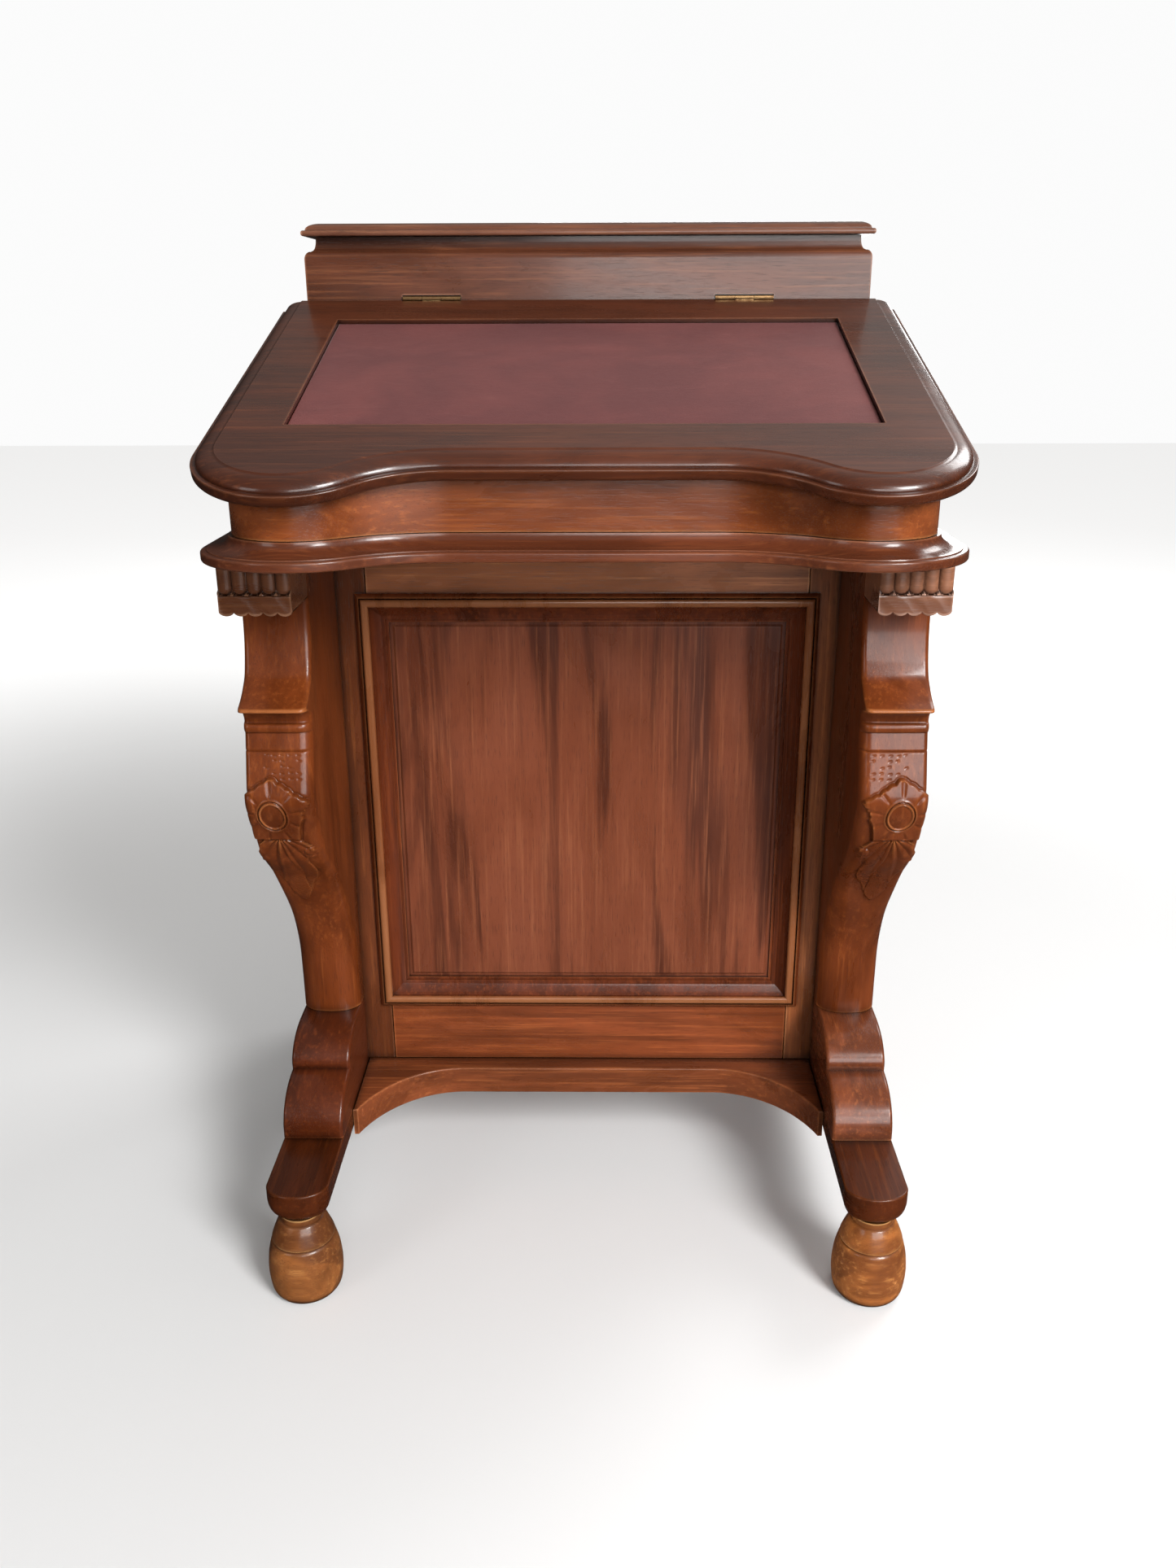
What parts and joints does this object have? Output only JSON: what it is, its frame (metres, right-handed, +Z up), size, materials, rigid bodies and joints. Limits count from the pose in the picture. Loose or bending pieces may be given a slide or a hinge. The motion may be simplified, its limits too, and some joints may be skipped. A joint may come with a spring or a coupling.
{
  "type": "davenport writing desk",
  "caption": "Davenport writing desk with a leather-lined slope lid, a lidded stationery box, side drawers, scrolled legs and bun feet.",
  "frame": {"origin": "on the floor under the middle of the desk, at the bottom centre of its bounding box", "axes": "+Z up, the longest side; -Y towards the sitter, so +Y, the depth, is the shortest side; +X to the sitter's right, where the drawers open"},
  "size_m": [0.5332, 0.5078, 0.8442],
  "materials": {
    "mahogany": "polished red-brown mahogany, gloss",
    "panel_mahogany": "polished mahogany with straight dark figure, satin gloss",
    "frieze_mahogany": "polished orange-brown mahogany, gloss",
    "carved_mahogany": "carved and polished mahogany, satin",
    "worn_mahogany": "turned mahogany with worn lighter polish, satin",
    "drawer_lining": "unpolished pale hardwood, matt",
    "writing_leather": "burgundy writing leather, fine grain, soft sheen",
    "brass": "aged brass, dull"
  },
  "bodies": {
    "desk": {"base_platform": "mahogany", "bun_foot_front_left": "worn_mahogany", "bun_foot_front_right": "worn_mahogany", "bun_foot_rear_left": "worn_mahogany", "bun_foot_rear_right": "worn_mahogany", "cheek_left": "mahogany", "cheek_right": "mahogany", "corbel_left": "carved_mahogany", "corbel_right": "carved_mahogany", "desk_base_board": "mahogany", "drawer_carcase": "mahogany", "dummy_drawer_1": "panel_mahogany", "dummy_drawer_2": "panel_mahogany", "dummy_drawer_3": "panel_mahogany", "dummy_drawer_4": "panel_mahogany", "front_bottom_rail": "mahogany", "front_panel": "panel_mahogany", "front_panel_moulding": "mahogany", "front_stile_left": "mahogany", "front_stile_right": "mahogany", "front_top_rail": "mahogany", "left_side_board": "mahogany", "leg_left": "carved_mahogany", "leg_right": "carved_mahogany", "pedestal_back": "mahogany", "runner_left": "mahogany", "runner_right": "mahogany", "scroll_block_left": "mahogany", "scroll_block_right": "mahogany", "slope_box_frieze": "frieze_mahogany", "slope_hinge_left_fixed_leaf": "brass", "slope_hinge_right_fixed_leaf": "brass", "stationery_back": "mahogany", "stationery_floor": "mahogany", "stationery_front": "mahogany", "stationery_hinge_left_fixed_leaf": "brass", "stationery_hinge_right_fixed_leaf": "brass"},
    "drawer_1": {"drawer_1_box": "drawer_lining", "drawer_1_front": "panel_mahogany", "drawer_1_knob_front": "mahogany", "drawer_1_knob_rear": "mahogany"},
    "drawer_2": {"drawer_2_box": "drawer_lining", "drawer_2_front": "panel_mahogany", "drawer_2_knob_front": "mahogany", "drawer_2_knob_rear": "mahogany"},
    "drawer_3": {"drawer_3_box": "drawer_lining", "drawer_3_front": "panel_mahogany", "drawer_3_knob_front": "mahogany", "drawer_3_knob_rear": "mahogany"},
    "drawer_4": {"drawer_4_box": "drawer_lining", "drawer_4_front": "panel_mahogany", "drawer_4_knob_front": "mahogany", "drawer_4_knob_rear": "mahogany"},
    "slope_lid": {"slope_hinge_left_moving_leaf": "brass", "slope_hinge_right_moving_leaf": "brass", "slope_lid": "mahogany", "writing_leather": "writing_leather"},
    "stationery_lid": {"stationery_hinge_left_moving_leaf": "brass", "stationery_hinge_right_moving_leaf": "brass", "stationery_lid": "mahogany"}
  },
  "joints": [
    {"name": "slope_lid_hinge", "type": "hinge", "parent": "desk", "child": "slope_lid", "pos_m": [0, 0.10385, 0.7835], "axis": [-1, 0, 0], "range_deg": [0, 95]},
    {"name": "stationery_lid_hinge", "type": "hinge", "parent": "desk", "child": "stationery_lid", "pos_m": [0, 0.2517, 0.83345], "axis": [-1, 0, 0], "range_deg": [0, 95]},
    {"name": "drawer_1_slide", "type": "slide", "parent": "desk", "child": "drawer_1", "axis": [1, 0, 0], "range_m": [0, 0.3]},
    {"name": "drawer_2_slide", "type": "slide", "parent": "desk", "child": "drawer_2", "axis": [1, 0, 0], "range_m": [0, 0.3]},
    {"name": "drawer_3_slide", "type": "slide", "parent": "desk", "child": "drawer_3", "axis": [1, 0, 0], "range_m": [0, 0.3]},
    {"name": "drawer_4_slide", "type": "slide", "parent": "desk", "child": "drawer_4", "axis": [1, 0, 0], "range_m": [0, 0.3]}
  ]
}
